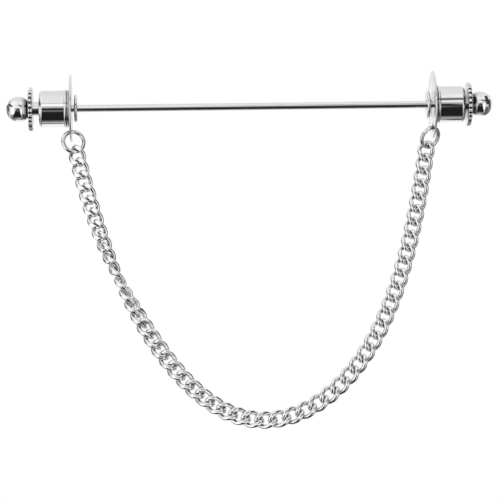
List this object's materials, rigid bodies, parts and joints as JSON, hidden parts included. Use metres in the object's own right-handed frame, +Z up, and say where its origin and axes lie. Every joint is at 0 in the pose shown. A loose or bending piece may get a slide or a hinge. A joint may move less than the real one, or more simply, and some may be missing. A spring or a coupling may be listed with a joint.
{
  "type": "collar bar",
  "caption": "Straight collar bar with a spring-loaded locking clutch on each end and a twisted curb chain hanging in a loop between the clutches.",
  "frame": {"origin": "middle of the bar, on its axis, where the collar and the tie knot hold it", "axes": "+X along the bar towards the right clutch as seen from the front, +Z up, -Y towards the viewer; the chain hangs down"},
  "size_m": [0.0752, 0.0104, 0.0555],
  "materials": {
    "polished_metal": "mirror polished silver-tone plate",
    "chain_metal": "polished silver-tone wire, filed flat on both faces of the chain",
    "inner_brass": "turned brass",
    "spring_steel": "bright hardened steel"
  },
  "bodies": {
    "bar": {"bar": "polished_metal", "left_stop_disc": "polished_metal", "right_stop_disc": "polished_metal"},
    "left_sleeve": {"left_taper_sleeve": "inner_brass"},
    "left_clutch": {"left_plate": "polished_metal", "left_barrel": "polished_metal", "left_spring": "spring_steel"},
    "left_plunger": {"left_plunger_stem": "polished_metal", "left_ball_cage": "inner_brass", "left_lock_balls": "spring_steel", "left_milled_disc": "polished_metal", "left_ball_knob": "polished_metal"},
    "left_ring": {"left_jump_ring": "chain_metal"},
    "right_sleeve": {"right_taper_sleeve": "inner_brass"},
    "right_clutch": {"right_plate": "polished_metal", "right_barrel": "polished_metal", "right_spring": "spring_steel"},
    "right_plunger": {"right_plunger_stem": "polished_metal", "right_ball_cage": "inner_brass", "right_lock_balls": "spring_steel", "right_milled_disc": "polished_metal", "right_ball_knob": "polished_metal"},
    "right_ring": {"right_jump_ring": "chain_metal"},
    "chain_01": {"chain_01": "chain_metal"},
    "chain_02": {"chain_02": "chain_metal"},
    "chain_03": {"chain_03": "chain_metal"},
    "chain_04": {"chain_04": "chain_metal"},
    "chain_05": {"chain_05": "chain_metal"},
    "chain_06": {"chain_06": "chain_metal"},
    "chain_07": {"chain_07": "chain_metal"},
    "chain_08": {"chain_08": "chain_metal"},
    "chain_09": {"chain_09": "chain_metal"},
    "chain_10": {"chain_10": "chain_metal"},
    "chain_11": {"chain_11": "chain_metal"},
    "chain_12": {"chain_12": "chain_metal"},
    "chain_13": {"chain_13": "chain_metal"}
  },
  "joints": [
    {"name": "left_clutch_slide", "type": "slide", "parent": "bar", "child": "left_sleeve", "axis": [-1, 0, 0], "range_m": [0, 0.0043]},
    {"name": "left_clutch_turn", "type": "hinge", "parent": "left_sleeve", "child": "left_clutch", "pos_m": [-0.03, 0, 0], "axis": [1, 0, 0], "continuous": true},
    {"name": "left_plunger_pull", "type": "slide", "parent": "left_clutch", "child": "left_plunger", "axis": [-1, 0, 0], "range_m": [0, 0.0005], "stiffness_N_per_m": 400, "springref_m": -0.0001, "deforming": ["left_spring"]},
    {"name": "left_ring_swing", "type": "hinge", "parent": "left_clutch", "child": "left_ring", "pos_m": [-0.028, 0, -0.00365], "axis": [1, 0, 0], "range_deg": [-50, 15]},
    {"name": "right_clutch_slide", "type": "slide", "parent": "bar", "child": "right_sleeve", "axis": [1, 0, 0], "range_m": [0, 0.0043]},
    {"name": "right_clutch_turn", "type": "hinge", "parent": "right_sleeve", "child": "right_clutch", "pos_m": [0.03, 0, 0], "axis": [1, 0, 0], "continuous": true},
    {"name": "right_plunger_pull", "type": "slide", "parent": "right_clutch", "child": "right_plunger", "axis": [1, 0, 0], "range_m": [0, 0.0011], "stiffness_N_per_m": 400, "springref_m": -0.0001, "deforming": ["right_spring"]},
    {"name": "right_ring_swing", "type": "hinge", "parent": "right_clutch", "child": "right_ring", "pos_m": [0.028, 0, -0.00365], "axis": [1, 0, 0], "range_deg": [-50, 15]},
    {"name": "chain_01_bend", "type": "hinge", "parent": "left_ring", "child": "chain_01", "pos_m": [-0.02721, 0, -0.00657], "axis": [0, 1, 0], "range_deg": [-8, 0]},
    {"name": "chain_02_bend", "type": "hinge", "parent": "chain_01", "child": "chain_02", "pos_m": [-0.0253, 0.00006, -0.0146], "axis": [0, 1, 0], "range_deg": [-5, 0]},
    {"name": "chain_03_bend", "type": "hinge", "parent": "chain_02", "child": "chain_03", "pos_m": [-0.0229, 0.00013, -0.02203], "axis": [0, 1, 0], "range_deg": [0, 7]},
    {"name": "chain_04_bend", "type": "hinge", "parent": "chain_03", "child": "chain_04", "pos_m": [-0.01996, 0.00022, -0.02897], "axis": [0, 1, 0], "range_deg": [-3, 0]},
    {"name": "chain_05_bend", "type": "hinge", "parent": "chain_04", "child": "chain_05", "pos_m": [-0.01634, 0.00033, -0.03564], "axis": [0, 1, 0], "range_deg": [0, 3]},
    {"name": "chain_06_bend", "type": "hinge", "parent": "chain_05", "child": "chain_06", "pos_m": [-0.01175, 0.00047, -0.04203], "axis": [0, 1, 0], "range_deg": [0, 4]},
    {"name": "chain_07_bend", "type": "hinge", "parent": "chain_06", "child": "chain_07", "pos_m": [-0.00579, 0.00065, -0.04711], "axis": [0, 1, 0], "range_deg": [-2, 0]},
    {"name": "chain_08_bend", "type": "hinge", "parent": "chain_07", "child": "chain_08", "pos_m": [0.0019, 0.00088, -0.04882], "axis": [0, 1, 0], "range_deg": [0, 7]},
    {"name": "chain_09_bend", "type": "hinge", "parent": "chain_08", "child": "chain_09", "pos_m": [0.00967, 0.00112, -0.04575], "axis": [0, 1, 0], "range_deg": [0, 1]},
    {"name": "chain_10_bend", "type": "hinge", "parent": "chain_09", "child": "chain_10", "pos_m": [0.01566, 0.00129, -0.03965], "axis": [0, 1, 0], "range_deg": [-1, 0]},
    {"name": "chain_11_bend", "type": "hinge", "parent": "chain_10", "child": "chain_11", "pos_m": [0.01987, 0.00142, -0.03226], "axis": [0, 1, 0], "range_deg": [0, 8]},
    {"name": "chain_12_bend", "type": "hinge", "parent": "chain_11", "child": "chain_12", "pos_m": [0.02281, 0.00151, -0.02436], "axis": [0, 1, 0], "range_deg": [-4, 0]},
    {"name": "chain_13_bend", "type": "hinge", "parent": "chain_12", "child": "chain_13", "pos_m": [0.02495, 0.00157, -0.01626], "axis": [0, 1, 0], "range_deg": [-7, 0]}
  ],
  "couplings": [
    {"joint": "right_clutch_turn", "follows": "left_clutch_turn", "ratio": 1},
    {"joint": "right_ring_swing", "follows": "left_ring_swing", "ratio": 1},
    {"joint": "chain_01_bend", "follows": "left_clutch_slide", "rad_per_m": -30.21},
    {"joint": "chain_02_bend", "follows": "right_clutch_slide", "rad_per_m": -14.43},
    {"joint": "chain_03_bend", "follows": "left_clutch_slide", "rad_per_m": 24.21},
    {"joint": "chain_04_bend", "follows": "right_clutch_slide", "rad_per_m": -6.95},
    {"joint": "chain_05_bend", "follows": "left_clutch_slide", "rad_per_m": 9.57},
    {"joint": "chain_06_bend", "follows": "right_clutch_slide", "rad_per_m": 13.52},
    {"joint": "chain_07_bend", "follows": "left_clutch_slide", "rad_per_m": -5.18},
    {"joint": "chain_08_bend", "follows": "right_clutch_slide", "rad_per_m": 24.63},
    {"joint": "chain_09_bend", "follows": "left_clutch_slide", "rad_per_m": 1.46},
    {"joint": "chain_10_bend", "follows": "right_clutch_slide", "rad_per_m": -1.17},
    {"joint": "chain_11_bend", "follows": "left_clutch_slide", "rad_per_m": 29.45},
    {"joint": "chain_12_bend", "follows": "right_clutch_slide", "rad_per_m": -10.5},
    {"joint": "chain_13_bend", "follows": "left_clutch_slide", "rad_per_m": -24.45}
  ]
}
